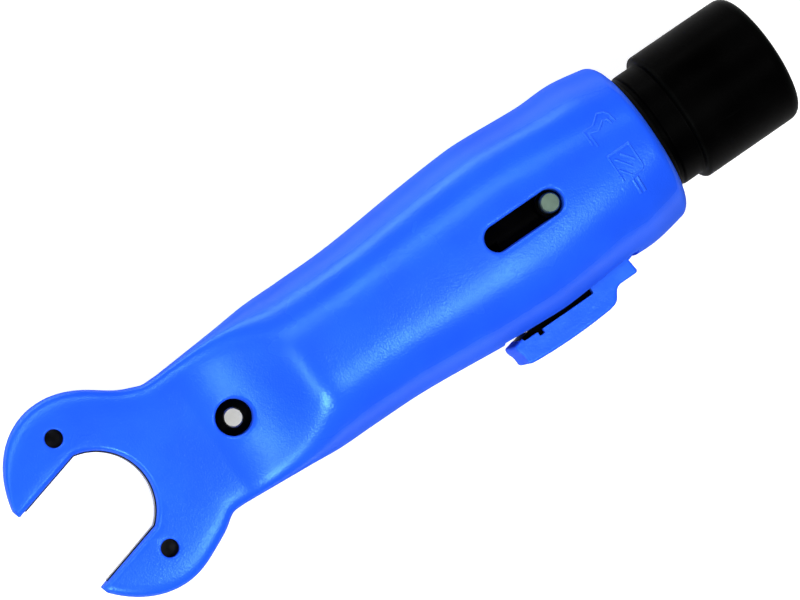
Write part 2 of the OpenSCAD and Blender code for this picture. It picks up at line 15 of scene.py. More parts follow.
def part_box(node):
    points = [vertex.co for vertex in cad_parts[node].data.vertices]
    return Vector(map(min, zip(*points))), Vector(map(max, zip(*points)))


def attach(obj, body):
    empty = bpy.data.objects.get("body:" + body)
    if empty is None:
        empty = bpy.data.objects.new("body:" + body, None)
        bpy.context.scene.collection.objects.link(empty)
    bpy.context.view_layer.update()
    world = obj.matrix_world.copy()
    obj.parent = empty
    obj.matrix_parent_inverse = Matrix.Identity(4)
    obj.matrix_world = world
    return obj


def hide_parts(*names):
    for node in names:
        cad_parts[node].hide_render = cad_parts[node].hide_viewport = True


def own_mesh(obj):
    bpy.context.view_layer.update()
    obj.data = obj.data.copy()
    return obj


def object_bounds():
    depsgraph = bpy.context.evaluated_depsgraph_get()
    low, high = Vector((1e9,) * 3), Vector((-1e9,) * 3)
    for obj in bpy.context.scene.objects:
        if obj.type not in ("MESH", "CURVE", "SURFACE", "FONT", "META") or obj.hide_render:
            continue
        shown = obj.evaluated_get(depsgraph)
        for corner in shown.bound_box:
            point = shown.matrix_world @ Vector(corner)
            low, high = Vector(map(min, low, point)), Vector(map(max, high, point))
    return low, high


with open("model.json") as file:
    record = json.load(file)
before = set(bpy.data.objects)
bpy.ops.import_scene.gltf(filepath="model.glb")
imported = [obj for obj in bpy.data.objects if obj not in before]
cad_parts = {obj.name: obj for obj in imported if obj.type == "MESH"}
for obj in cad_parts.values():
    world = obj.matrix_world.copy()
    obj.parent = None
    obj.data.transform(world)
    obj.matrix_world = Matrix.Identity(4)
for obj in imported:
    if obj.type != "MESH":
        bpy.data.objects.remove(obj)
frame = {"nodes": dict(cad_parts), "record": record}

MM = 0.001
for name in ("Cube", "Light", "Camera"):
    if name in bpy.data.objects:
        bpy.data.objects.remove(bpy.data.objects[name])
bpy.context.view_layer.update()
NODES = frame["nodes"]
COLOUR = {m["slot"]: (*m["base_color"], 1) for m in frame["record"]["materials"]}

# %% [markdown]
# ## Values of the tool
# A fine mesh has to lie where its solid lies, so it is drawn from the same lengths, in millimetres.
# Lengths that a solid already has could be read from its box; the rest are written once, here.

# %% Lengths in millimetres
# The barrel: half depth and half width where it is fullest, and how far both draw in at the waist
DEEP = 9.41
WIDE = 10.66
WAIST = 9.22
WAIST_IN = 1.44
WAIST_DOWN = 1.1
END_EDGE = 1.0
# The slope from the barrel's shoulder down to the flat plate
SLOPE_LEN = 12.15
SHOULDER_X = -44.65
PLATE_X = SHOULDER_X - SLOPE_LEN
PLATE_HALF = 2.6
NECK_HALF = 8.25
# The jaws: an ellipse turned by 15 degrees, with a mouth for an 11 mm nut
JAW_X = -68.5
JAW_SHIFT = 0.64
JAW_TURN = radians(15)
JAW_A = 9.6
JAW_B = 12.48
JAW_OPENING = 11.1
# The two pins that show, the slot of one and the hole over the other
STOP_X = -20.2
PIN_X = -13.6
STOP_TRAVEL = 6.75
SLOT_HALF = 1.5
ANCHOR_X = -53.4
ACCESS_R = 2.0
# The lever's hinge, the floor of its pocket and the two blades
HINGE_X = -9.0
HINGE_Y = -8.66
FLOOR_Y = -7.06
CORE_X = -22.0
JACKET_X = -15.5

# Distance along the axis, half width, half depth, squareness
SKIN = [
    (PLATE_X - 0.7, NECK_HALF, WAIST - 0.98, 6),
    (PLATE_X + 0.6 * SLOPE_LEN, WAIST - 0.38, WAIST - 1, 3.4),
    (SHOULDER_X - 1, WAIST - 0.02, DEEP - WAIST_DOWN, 2.8),
    (SHOULDER_X + 3.2, WAIST, DEEP - WAIST_DOWN + 0.05, 2.7),
    (SHOULDER_X + 9.8, WAIST + 0.12, DEEP - 0.6 * WAIST_DOWN, 2.7),
    (STOP_X - 5, WIDE - 0.33 * WAIST_IN, DEEP - 0.2 * WAIST_DOWN, 2.7),
    (STOP_X, WIDE - 0.11, DEEP, 2.7),
    (PIN_X - 3.2, WIDE, DEEP, 2.7),
    (HINGE_X, WIDE - 0.46, DEEP, 2.5),
    (-4.8, WIDE - 0.4, DEEP - 0.05, 2.3),
    (0, WIDE - 1.2, DEEP - 0.1, 2.15),
]
print("skin stations:", len(SKIN), "from", round(SKIN[0][0], 2), "to", SKIN[-1][0])

# %% [markdown]
# ## The body's skin
# The body is one moulding: a barrel that narrows, slopes down to a flat plate and widens into the jaws.
# It could be sculpted or subdivided, but each cross-section is a squared ellipse whose size changes
# smoothly along the axis, so a loft through computed rings follows the solid exactly and stays even.

# %% How the cross-section changes along the axis
SLOPE_POWER = 1.6
SLOPE_BLEND = 14
PLATE_SQUARE = 8
NECK_GROWS_OVER = 8.5
NECK_BLEND = 4.5


def mix(a, b, t):
    return a + (b - a) * t


def ease(t):
    u = min(1, max(0, t))
    return u * u * (3 - 2 * u)


def soft_max(a, b, p):
    """The larger of the two, with a round change-over: the higher p, the tighter."""
    return (max(a, 0.01) ** p + max(b, 0.01) ** p) ** (1 / p)


def slope_at(i, k):
    """How steeply column k of SKIN rises at row i."""
    a = max(0, i - 1)
    b = min(len(SKIN) - 1, i + 1)
    return (SKIN[b][k] - SKIN[a][k]) / (SKIN[b][0] - SKIN[a][0])


def skin(x, k):
    """Column k of SKIN at x, on a smooth curve through the rows."""
    if x <= SKIN[0][0]:
        return SKIN[0][k]
    i = max(i for i in range(len(SKIN) - 1) if i == 0 or x >= SKIN[i][0])
    h = SKIN[i + 1][0] - SKIN[i][0]
    t = (x - SKIN[i][0]) / h
    start = (2 * t ** 3 - 3 * t * t + 1) * SKIN[i][k] + (t ** 3 - 2 * t * t + t) * h * slope_at(i, k)
    end = (3 * t * t - 2 * t ** 3) * SKIN[i + 1][k] + (t ** 3 - t * t) * h * slope_at(i + 1, k)
    return start + end


def end_in(x):
    """How far the round edge of the open end draws in at x."""
    if x < -END_EDGE:
        return 0
    return END_EDGE - sqrt(max(0, END_EDGE ** 2 - (END_EDGE + x) ** 2))


def depth_of(x):
    """Half depth of the body: flat plate, slope, then barrel."""
    if x < PLATE_X:
        return PLATE_HALF
    if x > SHOULDER_X + 4:
        return skin(x, 2) - end_in(x)
    rise = DEEP - WAIST_DOWN - PLATE_HALF
    ramp = PLATE_HALF + rise * max(0, (x - PLATE_X) / SLOPE_LEN) ** SLOPE_POWER
    return 1 / soft_max(1 / ramp, 1 / skin(x, 2), SLOPE_BLEND)


def square_of(x):
    """Squareness of the cross-section: 2 is an ellipse, and more comes nearer to a rectangle."""
    if x < PLATE_X:
        return PLATE_SQUARE
    return mix(PLATE_SQUARE, skin(x, 3), ease((x - PLATE_X) / SLOPE_LEN))


print("half depth at the shoulder:", round(depth_of(SHOULDER_X), 2), "at the plate:", depth_of(PLATE_X))

# %% Where the jaws' turned ellipse crosses a station
JAW_COS = cos(JAW_TURN)
JAW_SIN = sin(JAW_TURN)
JAW_REACH = sqrt((JAW_A * JAW_COS) ** 2 + (JAW_B * JAW_SIN) ** 2)


def jaw_edge(x, side):
    """Height at which the turned ellipse crosses x, on its upper side for 1 or its lower side for -1."""
    p = x - JAW_X
    qa = (JAW_SIN / JAW_A) ** 2 + (JAW_COS / JAW_B) ** 2
    qb = 2 * JAW_COS * JAW_SIN * p * (1 / JAW_A ** 2 - 1 / JAW_B ** 2)
    qc = (JAW_COS * p / JAW_A) ** 2 + (JAW_SIN * p / JAW_B) ** 2 - 1
    root = qb * qb - 4 * qa * qc
    if root <= 0:
        return JAW_SHIFT + (-qb / (2 * qa) if abs(p) < JAW_REACH + 1 else 0)
    return JAW_SHIFT + (-qb + side * sqrt(root)) / (2 * qa)


def edge_of(x, side):
    """Edge of the body seen on its face, from the jaws over the neck to the barrel."""
    if x > PLATE_X + 1:
        return side * (skin(x, 1) - end_in(x))
    if x < JAW_X:
        return jaw_edge(x, side)
    neck = skin(x, 1) * ease((x - JAW_X) / NECK_GROWS_OVER)
    return side * soft_max(neck, side * jaw_edge(x, side), NECK_BLEND)


def height_at(x, y):
    """Height of the skin above the middle plane, over the point x, y."""
    top = edge_of(x, 1)
    low = edge_of(x, -1)
    t = abs(y - (top + low) / 2) / max(0.01, (top - low) / 2)
    n = square_of(x)
    return depth_of(x) * max(0, 1 - t ** n) ** (1 / n)


print("skin height over the stop pin:", round(height_at(PIN_X, 0), 3))

# %% Mesh helpers
JOIN_WITHIN = 0.002 * MM


def mesh_object(name, points, faces):
    """A new object from points in millimetres."""
    mesh = bpy.data.meshes.new(name)
    mesh.from_pydata([[v * MM for v in p] for p in points], [], faces)
    mesh.validate()
    thing = bpy.data.objects.new(name, mesh)
    bpy.context.collection.objects.link(thing)
    return thing


def closed_tube(name, rings):
    """A solid skin over rings of equal length, closed with a flat face at both ends."""
    n = len(rings[0])
    faces = [list(range(n)), [(len(rings) - 1) * n + i for i in reversed(range(n))]]
    for r in range(len(rings) - 1):
        for i in range(n):
            j = (i + 1) % n
            faces.append([r * n + i, (r + 1) * n + i, (r + 1) * n + j, r * n + j])
    thing = mesh_object(name, [p for ring in rings for p in ring], faces)
    tidy_normals(thing)
    bm = bmesh.new()
    bm.from_mesh(thing.data)
    bmesh.ops.triangulate(bm, faces=[f for f in bm.faces if len(f.verts) > 4], ngon_method="EAR_CLIP")
    bm.to_mesh(thing.data)
    bm.free()
    return thing


def tidy_normals(thing):
    """Joins points that fall together, then turns every face outwards."""
    bm = bmesh.new()
    bm.from_mesh(thing.data)
    bmesh.ops.remove_doubles(bm, verts=bm.verts, dist=JOIN_WITHIN)
    bmesh.ops.recalc_face_normals(bm, faces=bm.faces)
    bm.to_mesh(thing.data)
    bm.free()


def baked(thing):
    """Turns the object's modifiers into its own plain mesh."""
    graph = bpy.context.evaluated_depsgraph_get()
    mesh = bpy.data.meshes.new_from_object(thing.evaluated_get(graph))
    thing.modifiers.clear()
    old = thing.data
    thing.data = mesh
    bpy.data.meshes.remove(old)
    return thing


def smooth(thing, angle):
    """Smooth shading with sharp edges above the angle, where large faces keep their own direction."""
    thing.data.shade_smooth()
    thing.data.set_sharp_from_angle(angle=radians(angle))
    step = thing.modifiers.new("weigh", "WEIGHTED_NORMAL")
    step.mode = "FACE_AREA"
    step.weight = 100
    step.keep_sharp = True
    baked(thing)


def cut_away(thing, cutters):
    """Takes every cutter out of the object, and deletes the cutters."""
    for cutter in cutters:
        step = thing.modifiers.new(cutter.name, "BOOLEAN")
        step.operation = "DIFFERENCE"
        step.solver = "MANIFOLD"
        step.object = cutter
    baked(thing)
    for cutter in cutters:
        bpy.data.objects.remove(cutter)
    return thing


print("mesh helpers ready")

# %% Loft the body
RING_POINTS = 128
TIP_IN = 0.02


def skin_ring(x):
    """The cross-section at x, as points round it."""
    top = edge_of(x, 1)
    low = edge_of(x, -1)
    mid = (top + low) / 2
    half = (top - low) / 2
    power = 2 / square_of(x)
    ring = []
    for i in range(RING_POINTS):
        a = 2 * pi * (i + 0.5) / RING_POINTS
        y = abs(cos(a)) ** power * (1 if cos(a) > 0 else -1)
        z = abs(sin(a)) ** power * (1 if sin(a) > 0 else -1)
        ring.append((x, mid + half * y, depth_of(x) * z))
    return ring


def steps(a, b, n):
    """n even steps from a towards b, without b itself."""
    return [mix(a, b, i / n) for i in range(n)]


jaw_tip = JAW_X - JAW_REACH + TIP_IN
# Rings lie closer where the shape turns faster: at the jaws' tip, on the slope and at the round end
stations = [mix(jaw_tip, JAW_X, 1 - cos(pi / 2 * i / 36)) for i in range(36)]
stations += steps(JAW_X, PLATE_X, 26)
stations += steps(PLATE_X, SHOULDER_X + 1.2, 44)
stations += steps(SHOULDER_X + 1.2, -END_EDGE, 84)
stations += [-END_EDGE + END_EDGE * sin(pi / 2 * i / 9) for i in range(10)]
body_shell = closed_tube("body_shell", [skin_ring(x) for x in stations])
print("body loft:", len(stations), "rings,", len(body_shell.data.polygons), "faces")

# %% [markdown]
# ## Openings with soft rims
# A moulded hole has a small round rim, never a knife edge. A bevel after a Boolean breaks on a dense
# curved skin, so the cutters carry the rim instead: each flares out as it meets the skin, whose height
# is known everywhere from the same formula.

# %% Cutters that flare at the skin
RIM_TURN = radians(80)
RIM_STEPS = 5
LEAST_WALL = 0.1
OUTSIDE = 1.6


def flared_cutter(name, outline, rim, low, high):
    """outline: x, y and the outward direction at each point. rim: the radius of the round rim.
    low and high: where the cutter ends, or None where it goes out through that skin."""
    def flare(side):
        rings = []
        for i in range(RIM_STEPS + 1):
            phi = RIM_TURN * i / RIM_STEPS
            rings.append((rim * (1 - cos(phi)), -rim * (1 - sin(phi))))
        last = rings[-1]
        tail = 0.5 * rim
        rings.append((last[0] + tail, last[1] + tail / tan(RIM_TURN)))
        made = []
        for out, lift in rings:
            ring = []
            for x, y, nx, ny in outline:
                px = x + nx * out
                py = y + ny * out
                ring.append((px, py, side * (max(height_at(px, py), rim + LEAST_WALL) + lift)))
            made.append(ring)
        out = rings[-1][0]
        made.append([(x + nx * out, y + ny * out, side * OUTSIDE * DEEP) for x, y, nx, ny in outline])
        return made

    bottom = flare(-1)[::-1] if low is None else [[(x, y, low) for x, y, nx, ny in outline]]
    top = flare(1) if high is None else [[(x, y, high) for x, y, nx, ny in outline]]
    return closed_tube(name, bottom + top)


def round_outline(x, y, r, n=48):
    """A circle for flared_cutter."""
    angles = [2 * pi * i / n for i in range(n)]
    return [(x + r * cos(a), y + r * sin(a), cos(a), sin(a)) for a in angles]


def slot_outline(x0, x1, r, n=64):
    """A slot along X between the middles of its two round ends."""
    angles = [2 * pi * (i + 0.5) / n for i in range(n)]
    return [((x1 if cos(a) > 0 else x0) + r * cos(a), r * sin(a), cos(a), sin(a)) for a in angles]


ANCHOR_HOLE_R = 1.12
HINGE_HOLE_R = 0.77
slot_cutter = flared_cutter(
    "slot", slot_outline(PIN_X - STOP_TRAVEL, PIN_X, SLOT_HALF), rim=0.3, low=2.0, high=None)
access_cutter = flared_cutter(
    "access", round_outline(ANCHOR_X, 0, ACCESS_R), rim=0.35, low=0.0, high=None)
pin_cutter = flared_cutter(
    "pin_hole", round_outline(ANCHOR_X, 0, ANCHOR_HOLE_R), rim=0.2, low=None, high=0.5)
hinge_cutter = flared_cutter(
    "hinge_hole", round_outline(HINGE_X, HINGE_Y, HINGE_HOLE_R), rim=0.2, low=None, high=4.6)
print("flared cutters for the slot, the access hole and the holes of two pins")

# %% The mouth of the spanner and the two locating holes
def at_jaw(x, y):
    """A point given in the jaws' own turned frame."""
    return JAW_X + JAW_COS * x - JAW_SIN * y, JAW_SHIFT + JAW_SIN * x + JAW_COS * y


def jaw_outline(points):
    """An outline for flared_cutter, moved and turned into the jaws."""
    placed = []
    for x, y, nx, ny in points:
        px, py = at_jaw(x, y)
        placed.append((px, py, JAW_COS * nx - JAW_SIN * ny, JAW_SIN * nx + JAW_COS * ny))
    return placed


# The steel shows as a thin edge because the moulding stands back from it
PROUD = 0.14
ROOT_R = 6.2
FLAT_OVER = 0.35
FLAT_STEPS = 30
ROOT_STEPS = 40
half_mouth = JAW_OPENING / 2 + PROUD
root_x = FLAT_OVER - sqrt(ROOT_R ** 2 - (JAW_OPENING / 2) ** 2)
turn = asin(half_mouth / (ROOT_R + PROUD))
arc = [mix(-turn, turn, i / ROOT_STEPS) for i in range(ROOT_STEPS + 1)]
flat_end = root_x + cos(turn) * (ROOT_R + PROUD) - 0.2
mouth = [(x, -half_mouth, 0, -1) for x in steps(-14, flat_end, FLAT_STEPS)]
mouth += [(root_x + (ROOT_R + PROUD) * cos(a), (ROOT_R + PROUD) * sin(a), cos(a), sin(a)) for a in arc]
mouth += [(x, half_mouth, 0, 1) for x, _, _, _ in mouth[FLAT_STEPS - 1::-1]]
mouth_cutter = flared_cutter("mouth", jaw_outline(mouth), rim=0.6, low=None, high=None)

# Each jaw is this wide beside the mouth, and its hole sits a little nearer to the mouth than the middle
JAW_METAL = 6.93
HOLE_SHIFT = 0.4
HOLE_R = 1.0
hole_y = JAW_OPENING / 2 + 0.41 * JAW_METAL
hole_cutters = []
for side in (-1, 1):
    outline = jaw_outline(round_outline(side * HOLE_SHIFT, side * hole_y, HOLE_R, 32))
    hole_cutters.append(flared_cutter("locating_hole", outline, rim=0.18, low=None, high=None))
print("mouth", round(2 * half_mouth, 2), "mm wide, two locating holes")

# %% Straight cutters: seat of the steel, jaw tips, lever pocket and blade slits
def prism(name, outline, low, high):
    """The outline in the XY plane, straight up from low to high."""
    return closed_tube(name, [[(x, y, low) for x, y in outline], [(x, y, high) for x, y in outline]])


def box_cutter(name, low, high):
    """A box from its lowest to its highest corner."""
    outline = [(low[0], low[1]), (high[0], low[1]), (high[0], high[1]), (low[0], high[1])]
    return prism(name, outline, low[2], high[2])


GAP = 0.02
FAR = 25
SEAT_HALF = 1.22
SEAT_STEPS = 64
seat_a = JAW_A - 0.85 + GAP
seat_b = JAW_B - 2.38 + GAP
seat_from = acos(-0.78 * JAW_A / seat_a)
seat = [mix(-seat_from, seat_from, i / SEAT_STEPS) for i in range(SEAT_STEPS + 1)]
seat_outline = [at_jaw(seat_a * cos(a), seat_b * sin(a)) for a in seat]
seat_cutter = prism("seat", seat_outline, -SEAT_HALF, SEAT_HALF)
TIP_X = -0.85 * JAW_A
tip_corners = [(-20, -FAR), (TIP_X, -FAR), (TIP_X, FAR), (-20, FAR)]
tip_cutter = prism("tips", [at_jaw(*p) for p in tip_corners], -6, 6)

POCKET_HALF = 3.7
SLIT_HALF = 2.53
pocket_cutter = box_cutter("pocket", (-25.09, -FAR, -POCKET_HALF), (-7.4, FLOOR_Y, POCKET_HALF))
slit_cutters = []
for x in (JACKET_X, CORE_X):
    low = (x - 0.6, FLOOR_Y - 0.01, -SLIT_HALF)
    slit_cutters.append(box_cutter("slit", low, (x + 1.8, 0, SLIT_HALF)))
print("straight cutters:", 3 + len(slit_cutters))

# %% The bores, as one turned cutter, and the cut
def turned(name, profile, axis="x", at=(0, 0, 0), sides=96):
    """Spins pairs of (distance along, radius) round an axis through a point."""
    rings = []
    for along, r in profile:
        ring = []
        for i in range(sides):
            a = 2 * pi * i / sides
            u = max(r, 0.001) * cos(a)
            v = max(r, 0.001) * sin(a)
            p = {"x": (along, u, v), "y": (u, along, v), "z": (u, v, along)}[axis]
            ring.append(tuple(p[k] + at[k] for k in range(3)))
        rings.append(ring)
    return closed_tube(name, rings)


GUIDE_BORE = 7.0
GROOVE = 7.95
STOP_BORE = 6.06
SPRING_BORE = 4.2
ROD_BORE = 1.92
bores = [
    (1, 0), (1, 7.5), (0, 7.2), (-0.2, GUIDE_BORE),
    (-3.49, GUIDE_BORE), (-3.49, GROOVE), (-4.69, GROOVE), (-4.69, GUIDE_BORE),
    (-6.8, GUIDE_BORE), (-6.8, STOP_BORE), (-32, STOP_BORE), (-32, SPRING_BORE),
    (-45.52, SPRING_BORE), (-45.52, ROD_BORE), (-55.3, ROD_BORE), (-55.3, 0),
]
cut_away(body_shell, [
    turned("bores", bores), slot_cutter, access_cutter, pin_cutter, mouth_cutter, seat_cutter,
    tip_cutter, pocket_cutter, hinge_cutter, *hole_cutters, *slit_cutters,
])
smooth(body_shell, 34)
print("body after cutting:", len(body_shell.data.polygons), "faces")

# %% [markdown]
# ## The blade lever
# The lever is a second blue moulding that turns on a steel pin. Its side view is the whole shape, so it
# is drawn as an outline and given thickness. The edges are rounded by drawing the outline smaller and
# smaller towards both faces, which keeps the curve of a real moulded edge.

# %% Outlines with round corners, and slabs with round edges
def rounded(corners, pieces=5):
    """corners: x, y and radius. Each corner becomes a short curve between its two sides."""
    points = []
    for i, (x, y, r) in enumerate(corners):
        if r == 0:
            points.append((x, y))
            continue
        here = Vector((x, y))
        before = (Vector(corners[i - 1][:2]) - here).normalized() * r
        after = (Vector(corners[(i + 1) % len(corners)][:2]) - here).normalized() * r
        for k in range(pieces + 1):
            t = k / pieces
            p = here + before * (1 - t) ** 2 + after * t ** 2
            points.append((p.x, p.y))
    return points


LEAST_MITRE = 0.6


def shrunk(outline, by):
    """The outline moved inwards. It runs anticlockwise."""
    n = len(outline)
    moved = []
    for i, (x, y) in enumerate(outline):
        a = Vector((x, y)) - Vector(outline[i - 1])
        b = Vector(outline[(i + 1) % n]) - Vector((x, y))
        na = Vector((-a.y, a.x)).normalized()
        nb = Vector((-b.y, b.x)).normalized()
        m = (na + nb).normalized()
        step = by / max(LEAST_MITRE, m.dot(na))
        moved.append((x + m.x * step, y + m.y * step))
    return moved


def slab(name, outline, low, high, edge, pieces=4):
    """The outline in the XY plane, thick along Z, with round edges."""
    rings = []
    for k in range(pieces + 1):
        phi = pi / 2 * k / pieces
        ring = shrunk(outline, edge * (1 - sin(phi)))
        rings.append([(x, y, low + edge * (1 - cos(phi))) for x, y in ring])
    for k in range(pieces + 1):
        phi = pi / 2 * k / pieces
        ring = shrunk(outline, edge * (1 - cos(phi)))
        rings.append([(x, y, high - edge * (1 - sin(phi))) for x, y in ring])
    return closed_tube(name, rings)


print("outline helpers ready")

# %% The lever's side view
PRESS = radians(13)
PAD_Y = -13.27
TAB_Y = -11.66
PAD_X = -11.9
TAB_END = -8.7
LEVER_END = -24.25
EYE_R = 1.4
CROWN = 0.27
LEVER_HALF = 3.5
LEVER_EDGE = 0.28


def lever_under(x):
    """The lever's inner side, which lies flat on the pocket's floor when pressed."""
    return FLOOR_Y - 0.15 - (HINGE_X - x) * tan(PRESS)


def pad_top(x):
    """The thumb pad, slightly crowned."""
    mid = (PAD_X - 1 + LEVER_END) / 2
    half = (PAD_X - 1 - LEVER_END) / 2
    return PAD_Y - CROWN * (1 - ((x - mid) / half) ** 2)


# Corners are x, y and radius: the eye round the hinge pin, the tab, the pad, the free end, the inner side
eye = [mix(radians(103), radians(-86), i / 20) for i in range(21)]
side_view = [(HINGE_X + EYE_R * cos(a), HINGE_Y + EYE_R * sin(a), 0) for a in eye]
side_view += [(TAB_END, TAB_Y, 0.45), (PAD_X + 0.35, TAB_Y, 0.6)]
side_view += [(PAD_X - 0.62, PAD_Y + 0.15, 0.55)]
side_view += [(x, pad_top(x), 0) for x in steps(PAD_X - 1.7, LEVER_END + 0.9, 24)]
side_view += [(LEVER_END + 0.08, PAD_Y + 0.02, 0.45), (LEVER_END + 0.08, PAD_Y + 1.1, 0.35)]
side_view += [(LEVER_END - 0.25, PAD_Y + 1.9, 0.26), (LEVER_END - 0.25, lever_under(LEVER_END - 0.25), 0.28)]
side_view += [(HINGE_X - 1, lever_under(HINGE_X - 1), 0.2)]
lever_outline = rounded(side_view)[::-1]
lever = slab("lever_moulding", lever_outline, -LEVER_HALF, LEVER_HALF, LEVER_EDGE)
print("lever outline:", len(lever_outline), "points")

# %% Openings of the lever
SCREW_X = -20.25
CASSETTE_HALF = 2.63
cassette_low = CORE_X - 1.45
cassette_high = JACKET_X + 1.35
ROOF_Y = PAD_Y + 1.8
cassette_corners = [
    (cassette_high, ROOF_Y - 0.05), (cassette_low, ROOF_Y - 0.05),
    (cassette_low, -7), (cassette_high, -7),
]
hinge_room = [(-5, 0), (-5, 0.81), (5, 0.81), (5, 0)]
screw_top = pad_top(SCREW_X)
screw_room = [(-0.6, 0), (-0.6, 1.66), (0, 1.6), (0.1, 1.52), (0.8, 0.82), (3, 0.82), (3, 0)]
# The window in the lever's side, with its small notch
WALL_TOP = HINGE_Y - 2.2
NOTCH_TOP = WALL_TOP - 0.5
WINDOW_X = (-23.3, -14.1)
NOTCH_X = (-21.55, -20.85)
window = rounded([
    (WINDOW_X[0], WALL_TOP, 0.25), (NOTCH_X[0], WALL_TOP, 0.12), (NOTCH_X[0], NOTCH_TOP, 0.15),
    (NOTCH_X[1], NOTCH_TOP, 0.15), (NOTCH_X[1], WALL_TOP, 0.12), (WINDOW_X[1], WALL_TOP, 0.25),
    (WINDOW_X[1], -6, 0), (WINDOW_X[0], -6, 0)])
lever_cutters = [
    prism("cassette_room", cassette_corners, -CASSETTE_HALF - GAP, CASSETTE_HALF + GAP),
    turned("hinge_room", hinge_room, "z", (HINGE_X, HINGE_Y, 0), 48),
    turned("screw_room", screw_room, "y", (SCREW_X, screw_top, 0), 48),
    prism("window", window, -5, 5),
]
cut_away(lever, lever_cutters)
smooth(lever, 38)
print("lever after cutting:", len(lever.data.polygons), "faces")

# %% [markdown]
# ## Turned pieces
# The black guide, the pins and the screw are round, so each is a profile spun round its axis. A lathe
# or a mould makes the real ones the same way. Corners are rounded in the profile before it is spun.

# %% The cable guide
def spun_ring(name, profile, sides=144):
    """A closed profile spun round the X axis, with a hole along it."""
    n = len(profile)
    points = []
    for i in range(sides):
        a = 2 * pi * i / sides
        points += [(x, r * cos(a), r * sin(a)) for x, r in profile]
    faces = []
    for i in range(sides):
        for k in range(n):
            a = i * n + k
            b = i * n + (k + 1) % n
            c = (i + 1) % sides * n
            faces.append([a, b, c + (k + 1) % n, c + k])
    thing = mesh_object(name, points, faces)
    tidy_normals(thing)
    return thing


JOURNAL = 6.94
HEAD = 7.72
CABLE_BORE = 4.0
guide_profile = rounded([
    (-6.6, JOURNAL, 0.2), (-4.51, JOURNAL, 0.1), (-4.51, 6.24, 0), (-3.67, 6.24, 0),
    (-3.67, JOURNAL, 0.1), (0, JOURNAL, 0), (0, 6.7, 0), (1.4, 6.7, 0), (1.6, 6.9, 0.1),
    (4.0, 6.9, 0.25), (4.05, HEAD, 0.45), (16.55, HEAD, 1.35), (16.55, 5.4, 0.45),
    (15.15, CABLE_BORE, 0.5), (-6.6, CABLE_BORE, 0.2),
], 6)
guide = spun_ring("guide_head_turned", guide_profile)
smooth(guide, 40)
print("guide profile:", len(guide_profile), "points")

# %% Pins and the screw
PIN_R = 1.1
HINGE_R = 0.75
SHANK_R = 0.8
BELOW_SKIN = 0.3
stop_top = height_at(PIN_X, 0) - BELOW_SKIN
stop_pin = turned("stop_pin_turned", [
    (4.3, 0), (4.3, 1.0), (4.4, PIN_R), (stop_top - 0.14, PIN_R), (stop_top, 0.96), (stop_top, 0)],
    "z", (PIN_X, 0, 0), 64)
anchor_low = BELOW_SKIN - depth_of(ANCHOR_X)
anchor_pin = turned("anchor_pin_turned", [
    (anchor_low, 0), (anchor_low, 0.9), (anchor_low + 0.2, PIN_R), (1.6, PIN_R), (1.75, 0.95),
    (1.75, 0)], "z", (ANCHOR_X, 0, 0), 64)
hinge_pin = turned("hinge_pin_turned", [
    (-4.58, 0), (-4.58, 0.6), (-4.43, HINGE_R), (4.43, HINGE_R), (4.58, 0.6), (4.58, 0)],
    "z", (HINGE_X, HINGE_Y, 0), 48)
screw = turned("cassette_screw_turned", [
    (0.12, 0), (0.12, 1.36), (0.18, 1.42), (0.8, SHANK_R), (1.1, SHANK_R), (2.7, SHANK_R), (2.7, 0)],
    "y", (SCREW_X, screw_top, 0), 64)
driver_low = (SCREW_X - 1.6, screw_top - 0.3, -0.2)
driver_high = (SCREW_X + 1.6, screw_top + 0.55, 0.2)
cut_away(screw, [box_cutter("driver_slot", driver_low, driver_high)])
for piece in (stop_pin, anchor_pin, hinge_pin, screw):
    smooth(piece, 34)
print("pins and screw made; the stop pin's end is at", round(stop_top, 2), "mm")

# %% [markdown]
# ## Coil springs
# A coil spring is wire wound to a rule: so many turns, a pitch, and a closed turn at each end. Geometry
# Nodes follow such a rule well, and the same tree winds both springs with other numbers.

# %% Node tree helpers
def new_tree(name, inputs):
    """A Geometry Nodes tree with one mesh in, one mesh out, and these named inputs between."""
    tree = bpy.data.node_groups.new(name, "GeometryNodeTree")
    tree.interface.new_socket("Geometry", in_out="INPUT", socket_type="NodeSocketGeometry")
    for label, kind, value in inputs:
        socket = tree.interface.new_socket(label, in_out="INPUT", socket_type="NodeSocket" + kind)
        if value is not None:
            socket.default_value = value
    tree.interface.new_socket("Geometry", in_out="OUTPUT", socket_type="NodeSocketGeometry")
    return tree, tree.nodes.new("NodeGroupInput"), tree.nodes.new("NodeGroupOutput")


def math_node(tree, operation, a, b=None):
    """The result of a sum on numbers or on other nodes' outputs."""
    node = tree.nodes.new("ShaderNodeMath")
    node.operation = operation
    for k, value in enumerate((a, b)):
        if value is None:
            continue
        if isinstance(value, (int, float)):
            node.inputs[k].default_value = value
        else:
            tree.links.new(value, node.inputs[k])
    return node.outputs[0]


def swept(tree, curve, radius, sides):
    """A round bar of this radius along the curve, closed at both ends."""
    ring = tree.nodes.new("GeometryNodeCurvePrimitiveCircle")
    ring.inputs["Resolution"].default_value = sides
    tree.links.new(radius, ring.inputs["Radius"])
    sweep = tree.nodes.new("GeometryNodeCurveToMesh")
    sweep.inputs["Fill Caps"].default_value = True
    tree.links.new(curve, sweep.inputs["Curve"])
    tree.links.new(ring.outputs[0], sweep.inputs["Profile Curve"])
    return sweep.outputs[0]


def close_tree(tree, geometry, material, result):
    """Hands out real geometry that carries the material, because an export drops instances."""
    real = tree.nodes.new("GeometryNodeRealizeInstances")
    tree.links.new(geometry, real.inputs[0])
    paint = tree.nodes.new("GeometryNodeSetMaterial")
    tree.links.new(real.outputs[0], paint.inputs["Geometry"])
    tree.links.new(material, paint.inputs["Material"])
    tree.links.new(paint.outputs[0], result.inputs[0])


